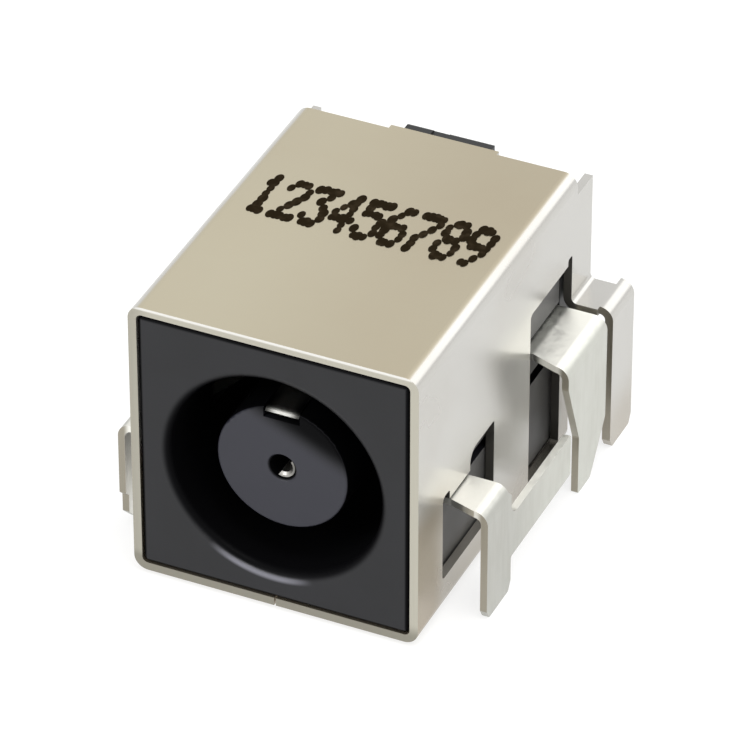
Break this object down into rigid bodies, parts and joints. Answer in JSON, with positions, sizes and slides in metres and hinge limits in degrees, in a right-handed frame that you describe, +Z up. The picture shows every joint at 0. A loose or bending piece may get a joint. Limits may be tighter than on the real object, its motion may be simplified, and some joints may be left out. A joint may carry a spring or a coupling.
{
  "type": "dc barrel jack",
  "caption": "Shielded right-angle power jack for a sunk board mounting: folded metal shell round a dark socket with a centre post, side legs and rear tails",
  "frame": {"origin": "under the middle of the jack's outline seen from above, level with the tips of its legs", "axes": "+X across the jack to the right when looking into the socket from behind the plug, +Y from the socket's front face to the tails at the back, +Z up, away from the tips of the legs"},
  "size_m": [0.0132, 0.0156, 0.0108],
  "materials": {
    "shield": "satin plated",
    "housing": "satin moulded",
    "contact": "satin tin plated"
  },
  "bodies": {
    "root": {"shield_shell": "shield", "front_housing": "housing", "rear_cover": "housing", "outer_contact_right": "contact", "outer_contact_left": "contact", "inner_contact": "contact", "signal_contact": "contact"}
  },
  "joints": []
}
